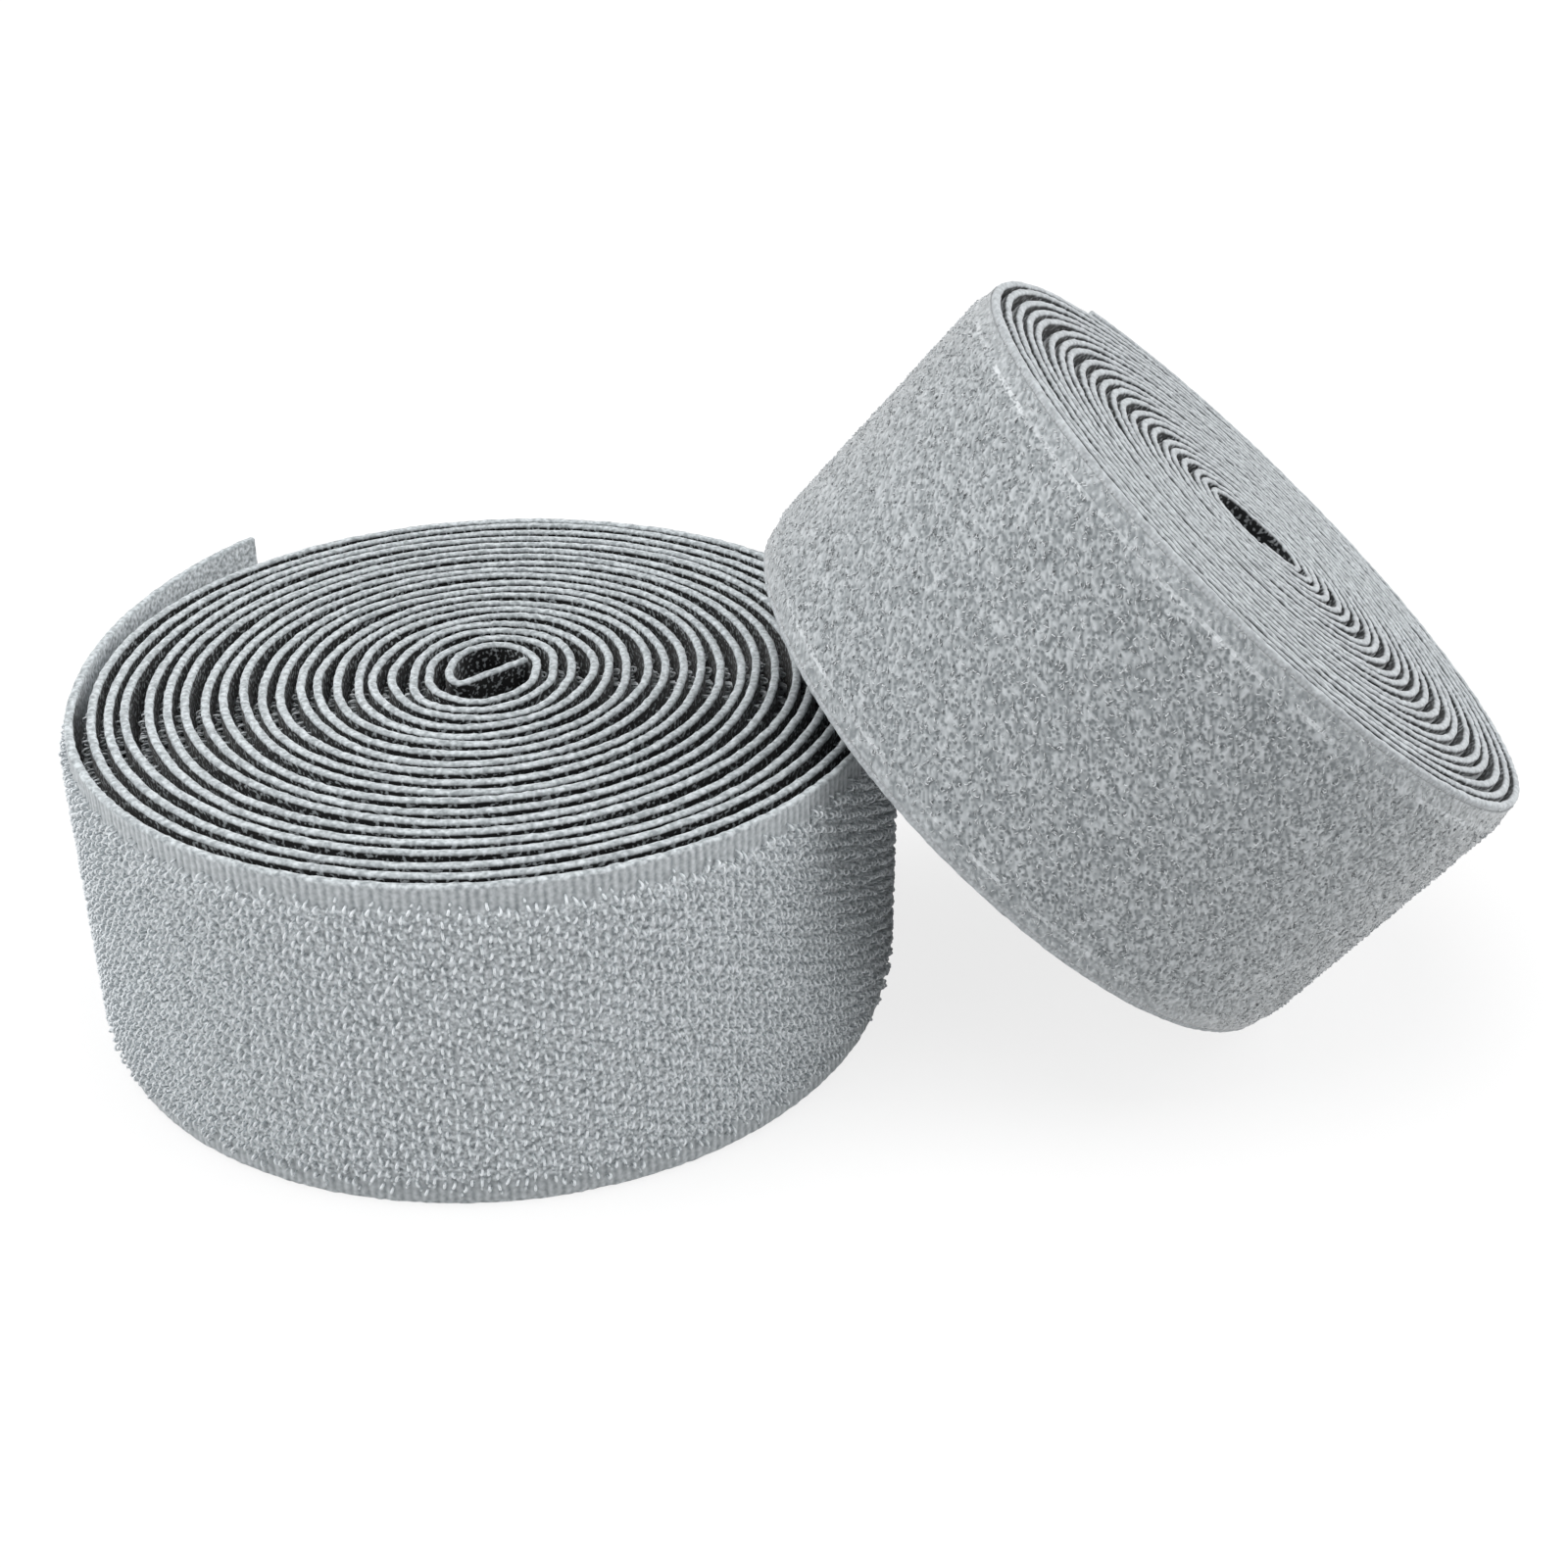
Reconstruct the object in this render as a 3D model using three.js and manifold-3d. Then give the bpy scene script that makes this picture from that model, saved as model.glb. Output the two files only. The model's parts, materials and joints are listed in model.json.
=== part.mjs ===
// Hook and loop tape: two tapes of one width, each wound on itself with no core.
// The hook roll lies flat. The loop roll stands on its lower rim and leans on the hook roll's top rim.
// Each roll is one unbroken band from its free inner end, folded into the eye, out to its loose tail.
// Millimetres, +Z up, origin under the middle of the pair on the surface that it stands on.

import * as THREE from 'three';
import { mergeVertices } from 'three/addons/utils/BufferGeometryUtils.js';
import Module from 'manifold-3d';

// Both tapes
const TAPE_WIDTH = 50;
const SELVAGE_WIDTH = 3.5; // plain woven edge on each side of the hooks or the pile
const SEAT_GAP = 0.3; // left between pieces that touch
const PILE_SETBACK = 2; // hooks and pile stop short of the line where a tail bends
const STEPS_IN_A_TURN = 24;
const LEAST_TURN_GAP = 0.4;

// Hook tape
const HOOK_RIBBON = 1.2; // thickness of the woven ribbon without its hooks
const HOOK_HEIGHT = 1.4;
const HOOK_TURNS = 20;
const HOOK_PITCH = 2.7;
const HOOK_EYE = 6.9; // middle radius where the first turn starts, at the ribbon's middle
const HOOK_EYE_OVAL = 1.3; // how much longer than the middle radius the eye is, front to back
const HOOK_RIM_OVAL = 0.9; // the same at the rim
const HOOK_OVAL_WAY = THREE.MathUtils.degToRad(75);
const HOOK_EYE_OFFSET = new THREE.Vector2(-0.5, 0.5);
const HOOK_TAIL_ROOT = THREE.MathUtils.degToRad(180); // where the tail leaves the roll, round from +X
const HOOK_TAIL_LENGTH = 63;
const HOOK_TAIL_RADIUS = 86; // the sprung tail is rounder than the roll
const HOOK_CHORD_TURN = 0.42; // the inner end points at this place of the first turn, across the eye
const HOOK_END_GAP = 0.9; // from the middle of the cut inner end to the turn that it points at
const HOOK_FOLD_TURN = -0.12; // corner of the fold, on the first turn's line carried on inwards
const HOOK_FOLD_RUN = 2.5; // length of chord that bends into the fold

// Loop tape
const LOOP_RIBBON = 1.1;
const LOOP_HEIGHT = 1.2;
const LOOP_TURNS = 22.5;
const LOOP_PITCH = 2.07;
const LOOP_EYE = 5.9;
const LOOP_EYE_OVAL = 1.5;
const LOOP_TAIL_ROOT = THREE.MathUtils.degToRad(90);
const LOOP_TAIL_LENGTH = 30;
const LOOP_TAIL_RADIUS = 54.5;

// How the loop roll leans
const LEAN = THREE.MathUtils.degToRad(40.1); // its axis, from upright
const LEAN_WAY = THREE.MathUtils.degToRad(-11.3); // heading of its axis, round from +X
const LEAN_SIDESTEP = 6.9; // how far its middle stands to the left of that heading
const FOOT_FLAT = 0.5; // depth that the rim is flattened where it stands

const wasm = await Module();
wasm.setup();

// Stations along a tape, seen along the roll's axis

// hand is -1 where the tape winds clockwise on its way out, and 1 where it winds the other way
const hookRoll = {
  hand: -1,
  ribbon: HOOK_RIBBON,
  height: HOOK_HEIGHT,
  turns: HOOK_TURNS,
  pitch: HOOK_PITCH,
  eye: HOOK_EYE,
  eyeOval: HOOK_EYE_OVAL,
  rimOval: HOOK_RIM_OVAL,
  ovalWay: HOOK_OVAL_WAY,
  eyeOffset: HOOK_EYE_OFFSET,
  tailRoot: HOOK_TAIL_ROOT,
  tailLength: HOOK_TAIL_LENGTH,
  tailRadius: HOOK_TAIL_RADIUS,
};
const loopRoll = {
  hand: 1,
  ribbon: LOOP_RIBBON,
  height: LOOP_HEIGHT,
  turns: LOOP_TURNS,
  pitch: LOOP_PITCH,
  eye: LOOP_EYE,
  eyeOval: LOOP_EYE_OVAL,
  rimOval: 0,
  ovalWay: 0,
  eyeOffset: new THREE.Vector2(),
  tailRoot: LOOP_TAIL_ROOT,
  tailLength: LOOP_TAIL_LENGTH,
  tailRadius: LOOP_TAIL_RADIUS,
};

// The angle round the roll's axis after some turns, ending at the tail's root
function angleAt(roll, turn) {
  return roll.tailRoot + roll.hand * (turn - roll.turns) * 2 * Math.PI;
}

// A point of the ribbon's middle line on the spiral
function spiralPoint(roll, turn) {
  const angle = angleAt(roll, turn);
  const share = turn / roll.turns;
  const oval = THREE.MathUtils.lerp(roll.eyeOval, roll.rimOval, share);
  const radius = roll.eye + roll.pitch * turn + oval * Math.cos(2 * (angle - roll.ovalWay));
  const point = new THREE.Vector2(Math.cos(angle), Math.sin(angle)).multiplyScalar(radius);
  return point.addScaledVector(roll.eyeOffset, 1 - share);
}

// The side of a travel direction that faces away from the roll's middle
function outwardOf(roll, travel) {
  return new THREE.Vector2(travel.y, -travel.x).multiplyScalar(roll.hand).normalize();
}

// Stations at the corners of a line of points, each with its outward direction
function stationsAlong(roll, points) {
  return points.map((point, i) => {
    const before = points[Math.max(i - 1, 0)];
    const after = points[Math.min(i + 1, points.length - 1)];
    const travel = new THREE.Vector2().subVectors(after, before);
    return { point, outward: outwardOf(roll, travel) };
  });
}

// Turn values of the spiral's corners, with one more where the pile stops short of the tail
function windingTurns(roll) {
  const count = Math.round(roll.turns * STEPS_IN_A_TURN);
  const turns = Array.from({ length: count }, (_, i) => i / STEPS_IN_A_TURN);
  const rim = spiralPoint(roll, roll.turns).length();
  turns.push(roll.turns - PILE_SETBACK / (2 * Math.PI * rim), roll.turns);
  return turns;
}

// The hook tape's inner end: a chord across the eye that folds round into the first turn
function hookInnerEnd() {
  const corner = spiralPoint(hookRoll, HOOK_FOLD_TURN);
  const wall = spiralPoint(hookRoll, HOOK_CHORD_TURN);
  const chordWay = new THREE.Vector2().subVectors(corner, wall).normalize();
  const free = wall.clone().addScaledVector(chordWay, HOOK_RIBBON / 2 + HOOK_END_GAP);
  const foldStart = corner.clone().addScaledVector(chordWay, -HOOK_FOLD_RUN);
  const fold = new THREE.QuadraticBezierCurve(foldStart, corner, spiralPoint(hookRoll, 0));
  return [free, ...fold.getPoints(6).slice(0, -1)];
}

// A tail: an arc that leaves the roll along the rim and swings wide of it
function tailStations(roll, root) {
  const middle = root.point.clone().addScaledVector(root.outward, -roll.tailRadius);
  const steps = Math.ceil(STEPS_IN_A_TURN * roll.tailLength / (2 * Math.PI * roll.tailRadius));
  const run = Array.from({ length: steps }, (_, i) => roll.tailLength * (i + 1) / steps);
  return [SEAT_GAP, PILE_SETBACK, ...run].map((length) => {
    const outward = root.outward.clone().rotateAround(new THREE.Vector2(), roll.hand * length / roll.tailRadius);
    return { point: middle.clone().addScaledVector(outward, roll.tailRadius), outward };
  });
}

// Solids

// A closed band along stations, between two offsets from the ribbon's middle and two heights
function bandGeometry(roll, stations, inner, outer, low, high) {
  const positions = [];
  const indices = [];
  const section = [[inner, low], [outer, low], [outer, high], [inner, high]];
  if (roll.hand < 0) section.reverse();
  for (const { point, outward } of stations) {
    for (const [offset, height] of section) {
      const corner = point.clone().addScaledVector(outward, offset);
      positions.push(corner.x, corner.y, height);
    }
  }
  const sides = section.length;
  for (let i = 0; i < stations.length - 1; i += 1) {
    for (let k = 0; k < sides; k += 1) {
      const a = i * sides + k;
      const b = i * sides + (k + 1) % sides;
      indices.push(a, b + sides, b, a, a + sides, b + sides);
    }
  }
  const last = (stations.length - 1) * sides;
  indices.push(0, 1, 2, 0, 2, 3);
  indices.push(last, last + 2, last + 1, last, last + 3, last + 2);
  const geometry = new THREE.BufferGeometry();
  geometry.setAttribute('position', new THREE.Float32BufferAttribute(positions, 3));
  geometry.setIndex(indices);
  return geometry;
}

function ribbonGeometry(roll, stations) {
  return bandGeometry(roll, stations, -roll.ribbon / 2, roll.ribbon / 2, -TAPE_WIDTH / 2, TAPE_WIDTH / 2);
}

function pileGeometry(roll, stations) {
  const seat = roll.ribbon / 2 + SEAT_GAP;
  const edge = TAPE_WIDTH / 2 - SELVAGE_WIDTH;
  return bandGeometry(roll, stations, seat, roll.ribbon / 2 + roll.height, -edge, edge);
}

// The least distance between a tape's outer face and the inner face of what lies over it, point to facet
function leastTurnGap(roll, stations) {
  const half = roll.ribbon / 2;
  const outer = stations.map(({ point, outward }) => point.clone().addScaledVector(outward, half));
  const inner = stations.map(({ point, outward }) => point.clone().addScaledVector(outward, -half));
  const nearest = new THREE.Vector3();
  const flat = (p) => new THREE.Vector3(p.x, p.y, 0);
  let least = Infinity;
  for (const [from, to] of [[outer, inner], [inner, outer], [outer, outer], [inner, inner]]) {
    const facets = to.slice(1).map((end, i) => new THREE.Line3(flat(to[i]), flat(end)));
    from.forEach((corner, i) => {
      const at = flat(corner);
      facets.forEach((facet, j) => {
        if (Math.abs(i - j) < STEPS_IN_A_TURN / 2) return;
        facet.closestPointToPoint(at, true, nearest);
        least = Math.min(least, nearest.distanceTo(at));
      });
    });
  }
  return least;
}

function manifoldOf(geometry) {
  const bare = geometry.clone();
  bare.deleteAttribute('normal');
  bare.deleteAttribute('uv');
  const merged = mergeVertices(bare);
  return new wasm.Manifold(new wasm.Mesh({
    numProp: 3,
    vertProperties: new Float32Array(merged.attributes.position.array),
    triVerts: new Uint32Array(merged.index.array),
  }));
}

function geometryOf(manifold) {
  const { vertProperties, triVerts } = manifold.getMesh();
  const geometry = new THREE.BufferGeometry();
  geometry.setAttribute('position', new THREE.Float32BufferAttribute(vertProperties, 3));
  geometry.setIndex(Array.from(triVerts));
  return geometry;
}

// Cuts a geometry of the leaning group flat at the surface that the pair stands on
function flattenAtFloor(geometry, group) {
  const size = 4 * TAPE_WIDTH;
  const ground = new THREE.BoxGeometry(size, size, size);
  ground.translate(group.position.x, group.position.y, -size / 2);
  ground.applyMatrix4(group.matrix.clone().invert());
  return geometryOf(manifoldOf(geometry).subtract(manifoldOf(ground)));
}

// Finishes

const hookRibbonFinish = new THREE.MeshStandardMaterial({ color: 0xa9adaf, roughness: 0.85, metalness: 0 });
const hookFinish = new THREE.MeshStandardMaterial({ color: 0xb4b8ba, roughness: 0.45, metalness: 0 });
const loopRibbonFinish = new THREE.MeshStandardMaterial({ color: 0xaeb2b4, roughness: 0.9, metalness: 0 });
const loopFinish = new THREE.MeshStandardMaterial({ color: 0xa4a8aa, roughness: 1, metalness: 0 });

function piece(name, geometry, finish) {
  const mesh = new THREE.Mesh(geometry, finish);
  mesh.name = name;
  return mesh;
}

// One roll's four pieces in a group of their own, the axis along Z and the tape's middle at zero
function rollParts(roll, innerEnd) {
  const turns = windingTurns(roll);
  const spiral = stationsAlong(roll, [...innerEnd, ...turns.map((turn) => spiralPoint(roll, turn))]);
  const tail = tailStations(roll, spiral.at(-1));
  const rimLength = 2 * Math.PI * spiral.at(-1).point.length();
  const covered = Math.ceil(STEPS_IN_A_TURN * roll.tailLength / rimLength);
  const bare = spiral.length - 2 - STEPS_IN_A_TURN + covered;
  return {
    spiral,
    winding: ribbonGeometry(roll, spiral),
    pile: pileGeometry(roll, spiral.slice(bare, -1)),
    tail: ribbonGeometry(roll, tail),
    tailPile: pileGeometry(roll, tail.slice(1)),
  };
}

function printTurnGap(name, roll, spiral) {
  const gap = leastTurnGap(roll, spiral);
  const verdict = gap > LEAST_TURN_GAP ? 'clear' : 'TOO CLOSE';
  console.log(`${name}: least gap of the tape to itself ${gap.toFixed(2)} mm, ${verdict}`);
}

const pair = new THREE.Group();

// Hook roll, flat on its lower selvage
const hook = rollParts(hookRoll, hookInnerEnd());
printTurnGap('hook_tape_winding', hookRoll, hook.spiral);
const hookGroup = new THREE.Group();
hookGroup.position.z = TAPE_WIDTH / 2;
hookGroup.add(
  piece('hook_tape_winding', hook.winding, hookRibbonFinish),
  piece('hook_field', hook.pile, hookFinish),
  piece('hook_tape_tail', hook.tail, hookRibbonFinish),
  piece('hook_tail_field', hook.tailPile, hookFinish),
);
pair.add(hookGroup);

// Loop roll, leaning: its lower end face rests on the hook roll's rim and its lowest rim on the floor
const loop = rollParts(loopRoll, []);
printTurnGap('loop_tape_winding', loopRoll, loop.spiral);
const loopGroup = new THREE.Group();
loopGroup.rotation.set(0, LEAN, LEAN_WAY, 'ZYX');
const heading = new THREE.Vector2(Math.cos(LEAN_WAY), Math.sin(LEAN_WAY));
const half = TAPE_WIDTH / 2;
const hookRim = Math.max(...hook.spiral.map(({ point }) => point.dot(heading))) + HOOK_RIBBON / 2;
const loopRim = Math.max(...loop.spiral.map(({ point }) => point.x)) + LOOP_RIBBON / 2;
const middleHeight = half * Math.cos(LEAN) + loopRim * Math.sin(LEAN) - FOOT_FLAT;
const rimReach = hookRim * Math.sin(LEAN) + TAPE_WIDTH * Math.cos(LEAN) + SEAT_GAP + half;
const middleAhead = (rimReach - middleHeight * Math.cos(LEAN)) / Math.sin(LEAN);
loopGroup.position.set(
  heading.x * middleAhead - heading.y * LEAN_SIDESTEP,
  heading.y * middleAhead + heading.x * LEAN_SIDESTEP,
  middleHeight,
);
loopGroup.updateMatrix();
loopGroup.add(
  piece('loop_tape_winding', flattenAtFloor(loop.winding, loopGroup), loopRibbonFinish),
  piece('loop_field', loop.pile, loopFinish),
  piece('loop_tape_tail', loop.tail, loopRibbonFinish),
  piece('loop_tail_field', loop.tailPile, loopFinish),
);
pair.add(loopGroup);

// The origin lies under the middle of the pair
const middle = new THREE.Box3().setFromObject(pair, true).getCenter(new THREE.Vector3());
pair.position.set(-middle.x, -middle.y, 0);

export default pair;
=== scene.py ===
import json
import math
from types import SimpleNamespace

import bmesh
import bpy
import numpy as np
from mathutils import Matrix, Vector


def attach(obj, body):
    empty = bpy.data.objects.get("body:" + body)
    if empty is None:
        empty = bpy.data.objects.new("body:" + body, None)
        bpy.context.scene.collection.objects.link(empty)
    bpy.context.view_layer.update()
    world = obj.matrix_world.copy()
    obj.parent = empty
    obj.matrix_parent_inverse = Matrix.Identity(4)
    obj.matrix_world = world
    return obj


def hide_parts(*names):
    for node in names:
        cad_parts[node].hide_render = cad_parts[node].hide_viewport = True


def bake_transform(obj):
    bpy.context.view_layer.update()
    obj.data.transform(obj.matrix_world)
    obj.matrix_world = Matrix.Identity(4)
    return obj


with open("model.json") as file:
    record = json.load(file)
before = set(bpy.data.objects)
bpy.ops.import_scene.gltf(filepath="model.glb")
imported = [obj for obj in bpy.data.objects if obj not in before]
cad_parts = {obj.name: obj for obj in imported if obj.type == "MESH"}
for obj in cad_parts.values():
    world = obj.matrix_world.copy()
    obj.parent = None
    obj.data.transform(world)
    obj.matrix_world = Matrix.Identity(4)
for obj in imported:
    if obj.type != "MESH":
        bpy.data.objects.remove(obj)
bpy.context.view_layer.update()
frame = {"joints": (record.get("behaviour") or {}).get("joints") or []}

# Hook tape, wound
# A woven nylon ribbon of about 4.3 m, wound 20 turns from a folded inner end in the open eye.
# It is woven flat with a plain ribbed selvage on both edges, and only its own stiffness holds it round.
TAPE_WIDTH = 0.050
SELVAGE = 0.0035  # the plain edge beside the hooks or the pile
RIM = 0.0007  # the outermost part of the edge, which is paler
SEAT_GAP = 0.0003  # between the winding and the root of its free end
RIB = 0.00119  # from one rib of the weave to the next
RIB_DEPTH = 0.00008
STATION = 0.0008  # step along the ribbon where no ribs show
EDGE_ROUND = 0.00024
EDGE_RISE = 0.00014
EDGE_SWAY = 0.00010
LINE_STEPS = 160  # points of the tape's line in one turn
END_STEPS = 30  # points of the folded inner end's chord, and of its fold
TAIL_STEPS = 80  # points of the free end
RIB_STEPS = 4  # steps of the ribbon in one rib
# The turns' slack as three waves: how high each is, how many of it go into a turn and where it starts.
# None is a whole number in a turn, so that the gaps between the turns widen and close.
SLACK_WAVES = ((1.0, 2.37, 0), (0.8, 3.71, 1), (0.6, 6.23, 2))

hook = SimpleNamespace(
    hand=-1,
    ribbon=0.0012,
    turns=20,
    pitch=0.0027,
    eye=0.0069,
    eye_oval=0.0013,
    rim_oval=0.0009,
    oval_way=math.radians(75),
    eye_shift=complex(-0.0005, 0.0005),
    tail_root=math.radians(180),
    tail_length=0.063,
    tail_radius=0.086,
    wander=0.0002,
    # lit_edge: depth below the edge at which the painted shade between the turns begins
    lit_edge=0.00032,
)
HOOK_CHORD_TURN = 0.42
HOOK_END_GAP = 0.0009
HOOK_FOLD_TURN = -0.12
HOOK_FOLD_RUN = 0.0025


def spiral(roll, turn):
    """Points of a tape's middle line after some turns, as complex numbers seen along the roll's axis."""
    angle = roll.tail_root + roll.hand * (turn - roll.turns) * 2 * math.pi
    share = turn / roll.turns
    oval = roll.eye_oval + (roll.rim_oval - roll.eye_oval) * share
    radius = roll.eye + roll.pitch * turn + oval * np.cos(2 * (angle - roll.oval_way))
    slack = sum(height * np.sin(waves * angle + start) for height, waves, start in SLACK_WAVES)
    settled = np.clip(turn, 0, 1) * np.clip(roll.turns - turn, 0, 1)
    radius = radius + roll.wander * slack * settled
    return radius * np.exp(1j * angle) + roll.eye_shift * (1 - share)


def lay_line(roll, inner_end):
    """Gives a roll its tape's line from the inner end to the tip of the tail, with lengths along it."""
    turns = np.linspace(0, roll.turns, LINE_STEPS * math.ceil(roll.turns) + 1)
    points = np.concatenate([inner_end, spiral(roll, turns)])
    travel = np.gradient(points)
    outward = -1j * roll.hand * travel / abs(travel)
    roll.root, roll.root_outward = points[-1], outward[-1]
    turned = np.linspace(0, roll.tail_length, TAIL_STEPS)[1:] / roll.tail_radius
    tail_outward = outward[-1] * np.exp(1j * roll.hand * turned)
    tail_middle = points[-1] - outward[-1] * roll.tail_radius
    roll.points = np.concatenate([points, tail_middle + tail_outward * roll.tail_radius])
    roll.outward = np.concatenate([outward, tail_outward])
    roll.length = np.concatenate([[0], np.cumsum(abs(np.diff(roll.points)))])
    roll.root_length = roll.length[len(points) - 1]
    roll.tip_length = roll.length[-1]
    roll.outer_turn = roll.root_length - abs(points[-1]) * 2 * math.pi


def joint(name):
    """One of the object's joints, from the frame."""
    return next(j for j in frame["joints"] if j["name"] == name)


hook_corner = spiral(hook, HOOK_FOLD_TURN)
hook_wall = spiral(hook, HOOK_CHORD_TURN)
chord_way = (hook_corner - hook_wall) / abs(hook_corner - hook_wall)
fold_start = hook_corner - chord_way * HOOK_FOLD_RUN
chord_start = hook_wall + chord_way * (hook.ribbon / 2 + HOOK_END_GAP)
chord = np.linspace(chord_start, fold_start, END_STEPS)
bent = np.linspace(0, 1, END_STEPS)[1:-1]
fold = (1 - bent) ** 2 * fold_start + 2 * bent * (1 - bent) * hook_corner + bent**2 * spiral(hook, 0)
lay_line(hook, np.concatenate([chord, fold]))

# The tail's hinge lies on the ribbon's outer face at its root, and gives the roll's place
hook_hinge = np.array(joint("hook_tail_peel")["pos_m"])
hook_root = hook.root + hook.root_outward * (hook.ribbon / 2 + 1j * hook.hand * SEAT_GAP / 2)
hook.axes = np.eye(3)
hook.origin = hook_hinge - (hook_root.real, hook_root.imag, 0)


def flat_tape(roll, start, ribbed_from, end):
    """A flat ribbon with rounded edges: X along the tape, Y out of its outer face and Z across it.

    Its steps are short where its ribs show, and longer before that."""
    bm = bmesh.new()
    bmesh.ops.create_cube(bm, size=1)
    bmesh.ops.scale(bm, vec=(end - start, roll.ribbon, TAPE_WIDTH), verts=bm.verts)
    bmesh.ops.translate(bm, vec=((start + end) / 2, 0, 0), verts=bm.verts)
    bmesh.ops.bevel(
        bm,
        geom=edges_along(bm, start, end),
        offset=EDGE_ROUND,
        offset_type="OFFSET",
        segments=1,
        profile=0.5,
        affect="EDGES",
        material=-1,
    )
    for line in (RIM, TAPE_WIDTH - RIM):
        bisect(bm, (0, 0, line - TAPE_WIDTH / 2), (0, 0, 1))
    bisect(bm, (ribbed_from, 0, 0), (1, 0, 0))
    for low, high, step in ((start, ribbed_from, STATION), (ribbed_from, end, RIB / RIB_STEPS)):
        cuts = round((high - low) / step) - 1
        if cuts > 0:
            bmesh.ops.subdivide_edges(bm, edges=edges_along(bm, low, high), cuts=cuts, use_grid_fill=True)
    return bm


def edges_along(bm, low, high):
    """Edges that run the whole way along a flat piece from one length to another."""
    tolerance = STATION / 100
    runs = [(e, abs(e.verts[0].co.x - e.verts[1].co.x)) for e in bm.edges]
    return [e for e, run in runs if abs(run - (high - low)) < tolerance]


def bisect(bm, place, way):
    """Cuts a flat piece across with a plane, and keeps both sides."""
    everything = bm.verts[:] + bm.edges[:] + bm.faces[:]
    bmesh.ops.bisect_plane(bm, geom=everything, plane_co=place, plane_no=way)


def to_mesh(name, bm):
    """A flat piece as mesh data, and its points."""
    mesh = bpy.data.meshes.new(name)
    bm.to_mesh(mesh)
    bm.free()
    return mesh, points_of(mesh)


def points_of(mesh):
    """The points of a mesh, one to a row."""
    flat = np.empty(len(mesh.vertices) * 3)
    mesh.vertices.foreach_get("co", flat)
    return flat.reshape(-1, 3)


def wind_up(name, roll, mesh, flat, seed):
    """Winds a flat piece along its tape's line. Each point keeps its flat place for the pattern."""
    mesh.attributes.new("flat", "FLOAT_VECTOR", "POINT").data.foreach_set("vector", flat.ravel())
    along, out, across = flat.T
    # The woven edge rises, falls and sways a little from thread to thread
    threads = np.arange(0, roll.tip_length, STATION)
    chance = np.random.default_rng(seed)
    rise = np.interp(along, threads, chance.uniform(0, EDGE_RISE, len(threads)))
    sway = np.interp(along, threads, chance.uniform(-EDGE_SWAY, EDGE_SWAY, len(threads)))
    at_edge = np.clip((abs(across) - TAPE_WIDTH / 2 + roll.ribbon) / roll.ribbon, 0, 1)
    across = across - np.sign(across) * at_edge * rise
    out = out + at_edge * sway
    outward = np.interp(along, roll.length, roll.outward)
    point = np.interp(along, roll.length, roll.points) + outward / abs(outward) * out
    wound = np.column_stack([point.real, point.imag, -roll.hand * across]) @ roll.axes + roll.origin
    wound[:, 2] = np.maximum(wound[:, 2], 0)
    mesh.vertices.foreach_set("co", wound.ravel())
    mesh.shade_smooth()
    piece = bpy.data.objects.new(name, mesh)
    bpy.context.collection.objects.link(piece)
    return piece


def ribbon(name, roll, start, ribbed_from, end, seed):
    """A stretch of a tape's ribbon. The ribs cross its outer face, and leave its rounded edges plain."""
    mesh, flat = to_mesh(name, flat_tape(roll, start, ribbed_from, end))
    along, out, across = flat.T
    on_face = (out > 0) & (abs(across) < (TAPE_WIDTH - RIM) / 2) & (along > ribbed_from)
    flat[:, 1] -= on_face * RIB_DEPTH * np.cos(2 * math.pi * along / RIB)
    return wind_up(name, roll, mesh, flat, seed)


def linear(hex_colour):
    """An sRGB hex colour as linear RGBA."""
    parts = [int(hex_colour[i : i + 2], 16) / 255 for i in (1, 3, 5)]
    return tuple(p / 12.92 if p <= 0.04045 else ((p + 0.055) / 1.055) ** 2.4 for p in parts) + (1,)


def add_node(tree, kind, inputs, **settings):
    """Adds a node with its settings. An input is a value or a socket, by the input's name or number."""
    node = tree.nodes.new(kind)
    for name, value in settings.items():
        setattr(node, name, value)
    for name, value in inputs.items():
        if isinstance(value, bpy.types.NodeSocket):
            tree.links.new(value, node.inputs[name])
        else:
            node.inputs[name].default_value = value
    return node


def start_material(name):
    """A new material, its node tree and its shader."""
    material = bpy.data.materials.new(name)
    material.use_nodes = True
    return material, material.node_tree, material.node_tree.nodes["Principled BSDF"]


WAVE_TURN = math.pi / 10  # a wave texture of scale 1 repeats after this length
FIBRE = 0.0007  # bundles of fibre, drawn about twice as coarse as the real ones so that they show
FIBRE_SHARE = 0.5  # how much of a selvage's weave is its fibre, and not its ribs
SELVAGE_DULL = 0.55
COVER_FADE = 0.006  # length over which the ribbon goes from covered to open, and the painted shade between the turns fades out
PAINTED_SHADE_DEPTH = 0.00027  # depth over which the painted shade between the turns darkens below the edge


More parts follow.
